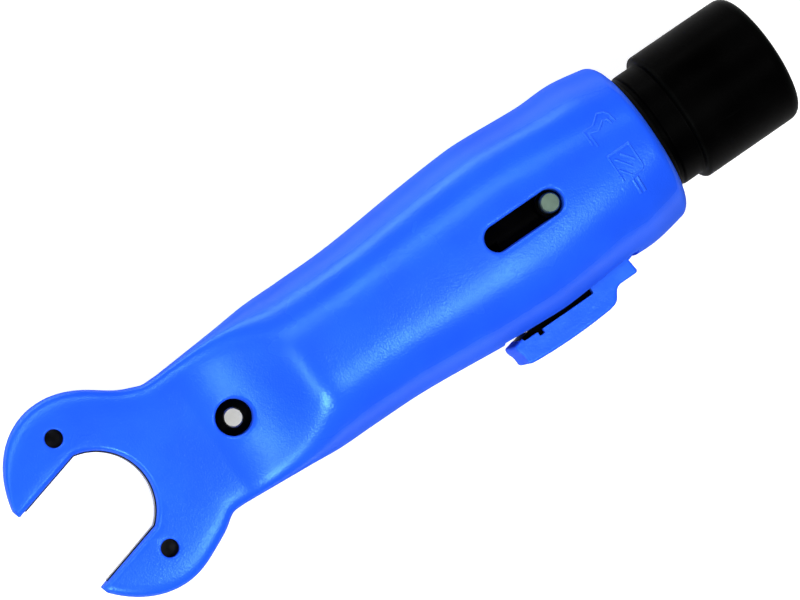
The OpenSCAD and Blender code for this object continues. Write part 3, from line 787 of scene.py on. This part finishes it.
def run_tree(thing, tree, values):
    """Puts the tree on the object with these inputs, and keeps the result as a plain mesh."""
    step = thing.modifiers.new(tree.name, "NODES")
    step.node_group = tree
    for item in tree.interface.items_tree:
        if item.item_type == "SOCKET" and item.in_out == "INPUT" and item.name in values:
            step[item.identifier] = values[item.name]
    return baked(thing)


print("node helpers ready")

# %% The tree that winds a spring
def share(tree, t, start, end):
    """0 before start, 1 after end, and even between."""
    node = tree.nodes.new("ShaderNodeMapRange")
    tree.links.new(t, node.inputs["Value"])
    for label, value in (("From Min", start), ("From Max", end)):
        if isinstance(value, (int, float)):
            node.inputs[label].default_value = value
        else:
            tree.links.new(value, node.inputs[label])
    return node.outputs["Result"]


wind, given, result = new_tree("wind_spring", [
    ("Radius", "Float", 0.003), ("Wire", "Float", 0.0008), ("Length", "Float", 0.02),
    ("Turns", "Int", 9), ("Steps", "Int", 40), ("Material", "Material", None)])
link = wind.links.new
turns = given.outputs["Turns"]
wire_size = given.outputs["Wire"]
coil = given.outputs["Radius"]
count = math_node(wind, "MULTIPLY", turns, given.outputs["Steps"])
line = wind.nodes.new("GeometryNodeMeshLine")
link(math_node(wind, "ADD", count, 1), line.inputs["Count"])
t = math_node(wind, "DIVIDE", wind.nodes.new("GeometryNodeInputIndex").outputs[0], count)
angle = math_node(wind, "MULTIPLY", math_node(wind, "MULTIPLY", t, turns), 2 * pi)

# The first and the last turn lie closed, and the turns between share what is left of the length
TOUCHING = 1.02
closed_turn = math_node(wind, "DIVIDE", 1, turns)
open_end = math_node(wind, "SUBTRACT", 1, closed_turn)
wire_lift = math_node(wind, "MULTIPLY", wire_size, TOUCHING)
taken = math_node(wind, "MULTIPLY", wire_size, 1 + 2 * TOUCHING)
free = math_node(wind, "SUBTRACT", given.outputs["Length"], taken)
ends = math_node(wind, "ADD", share(wind, t, 0, closed_turn), share(wind, t, open_end, 1))
closed_rise = math_node(wind, "MULTIPLY", ends, wire_lift)
open_rise = math_node(wind, "MULTIPLY", share(wind, t, closed_turn, open_end), free)
wire_radius = math_node(wind, "MULTIPLY", wire_size, 0.5)
rise = math_node(wind, "ADD", math_node(wind, "ADD", closed_rise, open_rise), wire_radius)
place = wind.nodes.new("ShaderNodeCombineXYZ")
link(rise, place.inputs["X"])
link(math_node(wind, "MULTIPLY", math_node(wind, "COSINE", angle), coil), place.inputs["Y"])
link(math_node(wind, "MULTIPLY", math_node(wind, "SINE", angle), coil), place.inputs["Z"])
move = wind.nodes.new("GeometryNodeSetPosition")
link(line.outputs["Mesh"], move.inputs["Geometry"])
link(place.outputs[0], move.inputs["Position"])
to_curve = wind.nodes.new("GeometryNodeMeshToCurve")
link(move.outputs[0], to_curve.inputs["Mesh"])
round_off = wind.nodes.new("GeometryNodeSetShadeSmooth")
link(swept(wind, to_curve.outputs[0], wire_radius, 12), round_off.inputs["Geometry"])
close_tree(wind, round_off.outputs[0], given.outputs["Material"], result)
print("spring tree:", len(wind.nodes), "nodes")

# %% Wind both springs
def wound(name, values):
    """A spring from whole numbers as they are and lengths in millimetres, from the origin along X."""
    start = mesh_object(name, [(0, 0, 0)], [])
    scaled = {k: v * MM if isinstance(v, float) else v for k, v in values.items()}
    return run_tree(start, wind, scaled)


RETURN_SEAT_X = -43.95
return_spring = wound("return_spring_wire", {
    "Radius": 3.0, "Wire": 0.8, "Length": 19.4, "Turns": 9, "Steps": 40})
return_spring.data.transform(Matrix.Translation((RETURN_SEAT_X * MM, 0, 0)))

LEVER_SPRING_X = -17.5
lever_seat_y = FLOOR_Y - 0.03
lever_low = ROOF_Y + 0.73
lever_spring = wound("lever_spring_wire", {
    "Radius": 1.1, "Wire": 0.4, "Length": lever_seat_y - lever_low, "Turns": 5, "Steps": 32})
upright = Matrix.Rotation(pi / 2, 4, "Z")
lever_spring.data.transform(Matrix.Translation((LEVER_SPRING_X * MM, lever_low * MM, 0)) @ upright)
for wire_piece, node in ((return_spring, "return_spring"), (lever_spring, "lever_spring")):
    low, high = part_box(node)
    found = [Vector(c) for c in wire_piece.bound_box]
    print(node, "solid", [round(v / MM, 2) for v in (*low, *high)],
          "wire", [round(v / MM, 2) for v in (*found[0], *found[6])])

# %% [markdown]
# ## The raised sign by the open end
# Three small pictures are moulded into the barrel: a turning arrow, a hatched block and two strokes.
# They are plain lines, so a tree drops each drawn line onto the skin below it and sweeps a thin round
# bead along it. The lines then follow the barrel's curve without being fitted by hand.

# %% The tree that lays beads on a surface
bead, given, result = new_tree("lay_beads", [
    ("Surface", "Object", None), ("Bead Radius", "Float", 0.00012), ("Sink", "Float", 0.00005),
    ("Step", "Float", 0.0001), ("Material", "Material", None)])
link = bead.links.new
to_curve = bead.nodes.new("GeometryNodeMeshToCurve")
link(given.outputs["Geometry"], to_curve.inputs["Mesh"])
even = bead.nodes.new("GeometryNodeResampleCurve")
even.mode = "LENGTH"
link(to_curve.outputs[0], even.inputs["Curve"])
link(given.outputs["Step"], even.inputs["Length"])
about = bead.nodes.new("GeometryNodeObjectInfo")
link(given.outputs["Surface"], about.inputs["Object"])
drop = bead.nodes.new("GeometryNodeRaycast")
link(about.outputs["Geometry"], drop.inputs["Target Geometry"])
drop.inputs["Ray Direction"].default_value = (0, 0, -1)
drop.inputs["Ray Length"].default_value = 0.05
down = bead.nodes.new("ShaderNodeCombineXYZ")
link(math_node(bead, "MULTIPLY", given.outputs["Sink"], -1), down.inputs["Z"])
sunk = bead.nodes.new("ShaderNodeVectorMath")
link(drop.outputs["Hit Position"], sunk.inputs[0])
link(down.outputs[0], sunk.inputs[1])
lay = bead.nodes.new("GeometryNodeSetPosition")
link(even.outputs[0], lay.inputs["Geometry"])
link(sunk.outputs[0], lay.inputs["Position"])
line_bead = swept(bead, lay.outputs[0], given.outputs["Bead Radius"], 10)
close_tree(bead, line_bead, given.outputs["Material"], result)
print("bead tree:", len(bead.nodes), "nodes")

# %% Draw the sign and lay it on the barrel
ABOVE_ALL = 0.02


def drawn_lines(name, lines):
    """Open lines from points in millimetres, high above the barrel."""
    points = []
    edges = []
    for path in lines:
        edges += [(len(points) + i, len(points) + i + 1) for i in range(len(path) - 1)]
        points += [(x * MM, y * MM, ABOVE_ALL) for x, y in path]
    mesh = bpy.data.meshes.new(name)
    mesh.from_pydata(points, edges, [])
    thing = bpy.data.objects.new(name, mesh)
    bpy.context.collection.objects.link(thing)
    return thing


# Thin: the arrow's outer and inner line and the block's two sides
sign_lines = [
    [(-6.4, 2.4), (-6.4, 4.15), (-5.1, 4.1), (-3.95, 4.95), (-3.3, 4.7), (-2.95, 4.2), (-2.85, 3.2)],
    [(-6.0, 2.0), (-6.0, 3.7), (-4.9, 3.35), (-3.95, 4.0), (-3.45, 3.9), (-3.3, 3.2)],
    [(-5.8, 0.4), (-5.8, -1.8)],
    [(-3.1, 0.4), (-3.1, -2.3), (-3.35, -2.6), (-4.3, -2.6)],
]
# Thick: three hatch lines, the bar above the block, its foot and the two strokes
thick_lines = [
    [(-5.35, -0.1), (-4.1, -1.8)],
    [(-4.5, 0.1), (-3.45, -1.3)],
    [(-5.6, -1.3), (-4.65, -2.5)],
    [(-5.9, 0.5), (-3.0, 0.5)],
    [(-5.8, -1.9), (-5.8, -2.6)],
    [(-4.85, -2.9), (-4.85, -4.65)],
    [(-4.3, -2.9), (-4.3, -4.65)],
]
thin = {"Surface": body_shell, "Bead Radius": 0.15 * MM}
sign = run_tree(drawn_lines("sign_lines", sign_lines), bead, thin)
thick = {"Surface": body_shell, "Bead Radius": 0.22 * MM, "Sink": 0.1 * MM}
bar = run_tree(drawn_lines("sign_bars", thick_lines), bead, thick)
for piece in (sign, bar):
    tidy_normals(piece)
    smooth(piece, 60)
print("sign:", len(sign.data.polygons) + len(bar.data.polygons), "faces")

# %% [markdown]
# ## Finishes
# Moulded nylon has a fine grain that softens reflections, a slightly uneven gloss from handling, and
# paler worn edges. Steel shows the direction it was worked in. Each effect is one node group, placed in
# every material that needs it with its own numbers. All patterns sit on Object coordinates.

# %% Shader helpers
def shader_group(name, inputs, outputs):
    """A node group that takes and gives plain values."""
    tree = bpy.data.node_groups.new(name, "ShaderNodeTree")
    for label, value in inputs:
        socket = tree.interface.new_socket(label, in_out="INPUT", socket_type="NodeSocketFloat")
        socket.default_value = value
    for label in outputs:
        tree.interface.new_socket(label, in_out="OUTPUT", socket_type="NodeSocketFloat")
    return tree, tree.nodes.new("NodeGroupInput"), tree.nodes.new("NodeGroupOutput")


def noise(tree, scale, detail=2.0, stretch=None):
    """A noise value between 0 and 1 over the piece, by its Object coordinates."""
    where = tree.nodes.new("ShaderNodeTexCoord").outputs["Object"]
    if stretch:
        turn = tree.nodes.new("ShaderNodeMapping")
        turn.inputs["Scale"].default_value = stretch
        tree.links.new(where, turn.inputs["Vector"])
        where = turn.outputs[0]
    node = tree.nodes.new("ShaderNodeTexNoise")
    node.inputs["Detail"].default_value = detail
    tree.links.new(where, node.inputs["Vector"])
    if isinstance(scale, (int, float)):
        node.inputs["Scale"].default_value = scale
    else:
        tree.links.new(scale, node.inputs["Scale"])
    return node.outputs[0]


def spread(tree, value, low, high, start=0.3, end=0.7):
    """The value's middle range, spread from low to high."""
    node = tree.nodes.new("ShaderNodeMapRange")
    node.interpolation_type = "SMOOTHSTEP"
    tree.links.new(value, node.inputs["Value"])
    node.inputs["From Min"].default_value = start
    node.inputs["From Max"].default_value = end
    for label, v in (("To Min", low), ("To Max", high)):
        if isinstance(v, (int, float)):
            node.inputs[label].default_value = v
        else:
            tree.links.new(v, node.inputs[label])
    return node.outputs["Result"]


print("shader helpers ready")

# %% Effect: moulded grain and handling
grain, given, result = shader_group("moulded_grain", [
    ("Grain Scale", 9000), ("Smoothest", 0.34), ("Roughest", 0.46)], ["Height", "Roughness", "Shade"])
fine = noise(grain, given.outputs["Grain Scale"], 2.0)
wavy = noise(grain, 260, 3.0)
handled = noise(grain, 90, 4.0)
fine_half = math_node(grain, "MULTIPLY", fine, 0.5)
wavy_half = math_node(grain, "MULTIPLY", wavy, 0.5)
height = math_node(grain, "ADD", fine_half, wavy_half)
grain.links.new(height, result.inputs["Height"])
rough = spread(grain, handled, given.outputs["Smoothest"], given.outputs["Roughest"])
grain.links.new(rough, result.inputs["Roughness"])
grain.links.new(spread(grain, noise(grain, 140, 2.0), 0.0, 1.0), result.inputs["Shade"])
print("moulded grain:", len(grain.nodes), "nodes")

# %% Effect: hairline scratches
hair, given, result = shader_group("hairlines", [("Amount", 1.0)], ["Mask"])
# Noise drawn out along X, and again along Y, of which only the narrow peaks are kept
along_x = spread(hair, noise(hair, 2600, 1.0, (0.06, 1, 0.5)), 0.0, 1.0, 0.66, 0.74)
along_y = spread(hair, noise(hair, 2600, 1.0, (0.7, 0.05, 0.7)), 0.0, 1.0, 0.66, 0.74)
marks = math_node(hair, "MAXIMUM", along_x, along_y)
where_used = spread(hair, noise(hair, 110, 3.0), 0.0, 1.0, 0.4, 0.7)
mask = math_node(hair, "MULTIPLY", marks, where_used)
mask = math_node(hair, "MULTIPLY", mask, given.outputs["Amount"])
hair.links.new(mask, result.inputs["Mask"])
print("hairlines:", len(hair.nodes), "nodes")

# %% Effect: lines left by turning, drawing or grinding
worked, given, result = shader_group("worked_steel", [
    ("Smoothest", 0.2), ("Roughest", 0.38)], ["Height", "Roughness", "Shade"])
lines = noise(worked, 2600, 2.0, (0.12, 0.12, 1))
cross = noise(worked, 2600, 2.0, (1, 0.1, 0.1))
lines_part = math_node(worked, "MULTIPLY", lines, 0.6)
cross_part = math_node(worked, "MULTIPLY", cross, 0.4)
both = math_node(worked, "ADD", lines_part, cross_part)
worked.links.new(both, result.inputs["Height"])
rough = spread(worked, both, given.outputs["Smoothest"], given.outputs["Roughest"])
worked.links.new(rough, result.inputs["Roughness"])
worked.links.new(spread(worked, noise(worked, 700, 3.0), 0.0, 1.0), result.inputs["Shade"])
print("worked steel:", len(worked.nodes), "nodes")

# %% Materials from the effects
def placed(material, group, values):
    """A node group in the material, with its own values."""
    node = material.node_tree.nodes.new("ShaderNodeGroup")
    node.node_tree = group
    for label, value in values.items():
        node.inputs[label].default_value = value
    return node


def blend_colour(material, factor, a, b):
    """Colour a where the factor is 0 and b where it is 1. a may come from another node."""
    node = material.node_tree.nodes.new("ShaderNodeMix")
    node.data_type = "RGBA"
    if isinstance(a, bpy.types.NodeSocket):
        material.node_tree.links.new(a, node.inputs[6])
    else:
        node.inputs[6].default_value = a
    node.inputs[7].default_value = b
    material.node_tree.links.new(factor, node.inputs[0])
    return node.outputs[2]


def tinted(colour, gain):
    """The colour made lighter or darker."""
    return (*[min(1, c * gain) for c in colour[:3]], 1)


def finish_of(name, effect, values, colour, spans, bump, metallic=0.0, specular=0.5, ior=1.45,
              tint=None, glancing=0, worn=None):
    """A material whose colour, roughness and bump come from an effect group. spans: the colour's least
    and most gain. bump: strength and height in millimetres. glancing: roughness added at the rim."""
    material = bpy.data.materials.new(name)
    material.use_nodes = True
    tree = material.node_tree
    shader = tree.nodes["Principled BSDF"]
    shader.inputs["Metallic"].default_value = metallic
    shader.inputs["Specular IOR Level"].default_value = specular
    shader.inputs["IOR"].default_value = ior
    if tint:
        shader.inputs["Specular Tint"].default_value = tint
    part = placed(material, effect, values)
    shades = [tinted(colour, gain) for gain in spans]
    paint_colour = blend_colour(material, part.outputs["Shade"], *shades)
    if worn:
        scratch = placed(material, hair, {"Amount": worn["scratch"]})
        edge = tree.nodes.new("ShaderNodeAttribute")
        edge.attribute_name = "edge_wear"
        patchy = spread(tree, noise(tree, 900, 3.0), 0.35, 1.0)
        rubbed = math_node(tree, "MULTIPLY", edge.outputs["Fac"], patchy)
        rubbed = math_node(tree, "MULTIPLY", rubbed, worn["edge"])
        mask = math_node(tree, "MAXIMUM", rubbed, scratch.outputs["Mask"])
        paint_colour = blend_colour(material, mask, paint_colour, worn["colour"])
    tree.links.new(paint_colour, shader.inputs["Base Color"])
    rough = part.outputs["Roughness"]
    if glancing:
        facing = tree.nodes.new("ShaderNodeLayerWeight").outputs["Facing"]
        rough = math_node(tree, "ADD", rough, spread(tree, facing, 0, glancing, 0.25, 0.7))
    tree.links.new(rough, shader.inputs["Roughness"])
    relief = tree.nodes.new("ShaderNodeBump")
    relief.inputs["Strength"].default_value = bump[0]
    relief.inputs["Distance"].default_value = bump[1] * MM
    tree.links.new(part.outputs["Height"], relief.inputs["Height"])
    tree.links.new(relief.outputs[0], shader.inputs["Normal"])
    return material


print("material helper ready")

# %% The eight finishes
# The photograph shows the stop pin darker than the record's steel: its copy of the bright steel is darkened
# as painted shade and dark reflection, for the pin sits down in its slot. The moulding shows a deeper blue
SHADED_STEEL_COLOUR = [c * gain for c, gain in zip(COLOUR["bright_steel"], (0.24, 0.35, 0.3))]
DEEP_BLUE = [c * gain for c, gain in zip(COLOUR["blue_moulding"], (0.62, 0.8, 1.04))]
blue = finish_of(
    "blue_moulding", grain, {"Grain Scale": 5000, "Smoothest": 0.22, "Roughest": 0.29},
    DEEP_BLUE, (0.92, 1.08), (0.7, 0.06), specular=0.65, ior=1.4, tint=(0.3, 0.9, 1, 1), glancing=0.55,
    worn={"scratch": 0.03, "edge": 0.2, "colour": (0.06, 0.24, 1, 1)})
black = finish_of(
    "black_moulding", grain, {"Smoothest": 0.3, "Roughest": 0.46},
    COLOUR["black_moulding"], (0.02, 0.1), (0.3, 0.03), specular=0.02, ior=1.3,
    worn={"scratch": 0.02, "edge": 0.06, "colour": (0.04, 0.05, 0.045, 1)})
rubber = finish_of(
    "rubber_ring", grain, {"Grain Scale": 5000, "Smoothest": 0.55, "Roughest": 0.72},
    COLOUR["rubber_ring"], (0.1, 0.3), (0.5, 0.04), specular=0.05)
dark_steel = finish_of(
    "dark_steel", worked, {"Smoothest": 0.28, "Roughest": 0.42}, COLOUR["dark_steel"], (0.1, 0.3),
    (0.2, 0.01), metallic=1.0)
bright_steel = finish_of(
    "bright_steel", worked, {"Smoothest": 0.36, "Roughest": 0.5}, COLOUR["bright_steel"], (0.66, 0.78),
    (0.15, 0.008), metallic=1.0)
# The bright steel darkened for the stop pin: painted shade and dark reflection, not a different steel
stop_pin_shaded_steel = finish_of(
    "stop_pin_shaded_steel", worked, {"Smoothest": 0.3, "Roughest": 0.4}, SHADED_STEEL_COLOUR, (0.85, 1.1),
    (0.15, 0.008), metallic=1.0)
spring_steel = finish_of(
    "spring_steel", worked, {"Smoothest": 0.22, "Roughest": 0.36}, COLOUR["spring_steel"], (0.85, 1.1),
    (0.15, 0.008), metallic=1.0)
blade_steel = finish_of(
    "blade_steel", worked, {"Smoothest": 0.14, "Roughest": 0.3}, COLOUR["blade_steel"], (0.9, 1.06),
    (0.2, 0.008), metallic=1.0)
FINISH = {
    "blue_moulding": blue, "black_moulding": black, "rubber_ring": rubber, "dark_steel": dark_steel,
    "bright_steel": bright_steel, "spring_steel": spring_steel, "blade_steel": blade_steel,
}
print("finishes:", ", ".join(FINISH), "and", stop_pin_shaded_steel.name)

# %% Mark the edges that wear, and give every piece its finish
def mark_edges(thing, gentle, sharp):
    """Stores, at each vertex, how sharply the surface turns there."""
    bm = bmesh.new()
    bm.from_mesh(thing.data)
    turn = {}
    for v in bm.verts:
        turn[v.index] = max((e.calc_face_angle(0) for e in v.link_edges if e.is_convex), default=0)
    # Two passes carry the wear a little past the edge itself
    for _ in range(2):
        turn = {v.index: max(turn[v.index], sum(turn[e.other_vert(v).index] for e in v.link_edges)
                             / max(1, len(v.link_edges))) for v in bm.verts}
    bm.free()
    layer = thing.data.attributes.new("edge_wear", "FLOAT", "POINT")
    values = [min(1, max(0, (degrees(turn[i]) - gentle) / (sharp - gentle))) for i in range(len(turn))]
    layer.data.foreach_set("value", values)


def dress(thing, slot, body, *nodes, finish=None):
    """Gives a piece its finish, the body it rides on and the solids it stands for."""
    thing.data.materials.clear()
    thing.data.materials.append(finish or FINISH[slot])
    if slot in ("blue_moulding", "black_moulding"):
        mark_edges(thing, gentle=9, sharp=30)
    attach(thing, body)
    if nodes:
        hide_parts(*nodes)


dress(body_shell, "blue_moulding", "tool_body", "body")
dress(sign, "blue_moulding", "tool_body")
dress(bar, "blue_moulding", "tool_body")
dress(lever, "blue_moulding", "press_lever", "blade_lever")
dress(guide, "black_moulding", "guide_head", "cable_guide")
# The stop pin takes the darkened copy of the bright steel, which paints the shade and dark reflection in its
# slot
dress(stop_pin, "bright_steel", "stop_slide", "stop_pin", finish=stop_pin_shaded_steel)
dress(anchor_pin, "bright_steel", "tool_body", "anchor_pin")
dress(hinge_pin, "bright_steel", "tool_body", "hinge_pin")
dress(screw, "bright_steel", "press_lever", "cassette_screw")
dress(return_spring, "spring_steel", "tool_body", "return_spring")
dress(lever_spring, "spring_steel", "tool_body", "lever_spring")
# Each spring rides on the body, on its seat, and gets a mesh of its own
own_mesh(return_spring)
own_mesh(lever_spring)

SLOT_OF = {part["node"]: part["material_slot"] for part in frame["record"]["subparts"]}
carried = [n for n in NODES if not NODES[n].hide_render]
for name in carried:
    NODES[name].data.materials.clear()
    NODES[name].data.materials.append(FINISH[SLOT_OF[name]])
print("solids that show themselves:", ", ".join(carried))

# %% [markdown]
# ## Floor, light and camera
# The tool lies on a white sheet under soft light. The floor looks white to the camera and to glossy
# surfaces, but still darkens where the tool shades it. A glossy barrel shows its lamps, so their shapes
# matter: a long one above the upper side draws the pale band along it, a short one lights the open end,
# a narrow one beyond the spanner catches the shoulder, and two weak ones lift the upper edge and the slope.

# %% Floor
FLOOR_HALF = 400
FLOOR_GLOW = 0.62
floor_z = min(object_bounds()[0][2], -DEEP * MM) - 0.02 * MM
corners = [(x * FLOOR_HALF, y * FLOOR_HALF, 0) for x, y in ((-1, -1), (1, -1), (1, 1), (-1, 1))]
floor = mesh_object("floor", corners, [(0, 1, 2, 3)])
floor.data.transform(Matrix.Translation((0, 0, floor_z)))
sheet = bpy.data.materials.new("white_sheet")
sheet.use_nodes = True
tree = sheet.node_tree
shader = tree.nodes["Principled BSDF"]
shader.inputs["Base Color"].default_value = (0.86, 0.86, 0.86, 1)
shader.inputs["Roughness"].default_value = 0.9
shader.inputs["Specular IOR Level"].default_value = 0.1
rays = tree.nodes.new("ShaderNodeLightPath")
seen = math_node(tree, "MAXIMUM", rays.outputs["Is Camera Ray"], rays.outputs["Is Glossy Ray"])
seen = math_node(tree, "MAXIMUM", seen, rays.outputs["Is Transmission Ray"])
glow = tree.nodes.new("ShaderNodeEmission")
tree.links.new(math_node(tree, "MULTIPLY", seen, FLOOR_GLOW), glow.inputs["Strength"])
sum_up = tree.nodes.new("ShaderNodeAddShader")
tree.links.new(shader.outputs[0], sum_up.inputs[0])
tree.links.new(glow.outputs[0], sum_up.inputs[1])
tree.links.new(sum_up.outputs[0], tree.nodes["Material Output"].inputs[0])
floor.data.materials.append(sheet)
print("floor at", round(floor_z / MM, 3), "mm")

# %% Lamps and surroundings
def softbox(name, place, aim, size, power):
    """A rectangular lamp, turned so that its first side runs along the tool. In metres and watts."""
    data = bpy.data.lights.new(name, "AREA")
    data.shape = "RECTANGLE"
    data.size = size[0]
    data.size_y = size[1]
    data.energy = power
    lamp = bpy.data.objects.new(name, data)
    bpy.context.collection.objects.link(lamp)
    away = (Vector(place) - Vector(aim)).normalized()
    along = (Vector((1, 0, 0)) - away * away.x).normalized()
    across = away.cross(along)
    turn = Matrix((along, across, away)).transposed()
    lamp.matrix_world = Matrix.Translation(place) @ turn.to_4x4()


MIDDLE = (-0.031, 0, 0)
SHOULDER = (-0.045, 0, 0)
SLOPE = (-0.05, 0, 0)
softbox("lamp_up", (-0.12, 0.26, 0.52), MIDDLE, (0.56, 0.045), 1.2)
softbox("lamp_down", (0.035, -0.20, 0.58), MIDDLE, (0.06, 0.13), 1.1)
softbox("lamp_shoulder", (-0.35, -0.24, 0.45), SHOULDER, (0.025, 0.08), 1.6)
softbox("lamp_edge", (-0.05, 0.45, 0.10), MIDDLE, (0.4, 0.08), 0.9)
softbox("lamp_left", (-0.42, -0.03, 0.45), SLOPE, (0.05, 0.16), 0.6)

SURROUND = 0.16
world = bpy.data.worlds.new("studio")
bpy.context.scene.world = world
world.use_nodes = True
tree = world.node_tree
ground = tree.nodes["Background"]
rays = tree.nodes.new("ShaderNodeLightPath")
strength = spread(tree, rays.outputs["Is Camera Ray"], SURROUND, 1.0, 0, 1)
tree.links.new(strength, ground.inputs["Strength"])
ground.inputs["Color"].default_value = (1, 1, 1, 1)
print("five lamps and a pale surround")

# %% Camera, at the photograph's angle
TARGET = Vector((-31.35, 0.18, 0)) * MM
LEAN_X = radians(8.2)
LEAN_Y = radians(2)
DISTANCE = 0.4
toward = Vector((-tan(LEAN_X), tan(LEAN_Y), 1)).normalized()
along = (Vector((1, 0, 0)) - toward * toward.x).normalized()
across = toward.cross(along)
ROLL = radians(34.5)
right = along * cos(ROLL) - across * sin(ROLL)
up = along * sin(ROLL) + across * cos(ROLL)
camera_data = bpy.data.cameras.new("camera")
camera_data.lens = 168.07
camera_data.sensor_width = 36
camera_data.clip_start = 0.01
camera_data.dof.use_dof = False
camera = bpy.data.objects.new("camera", camera_data)
bpy.context.collection.objects.link(camera)
turn = Matrix((right, up, toward)).transposed().to_4x4()
camera.matrix_world = Matrix.Translation(TARGET + toward * DISTANCE) @ turn
bpy.context.scene.camera = camera
bpy.context.scene.view_settings.view_transform = "Standard"
print("camera at", [round(v, 3) for v in camera.location])
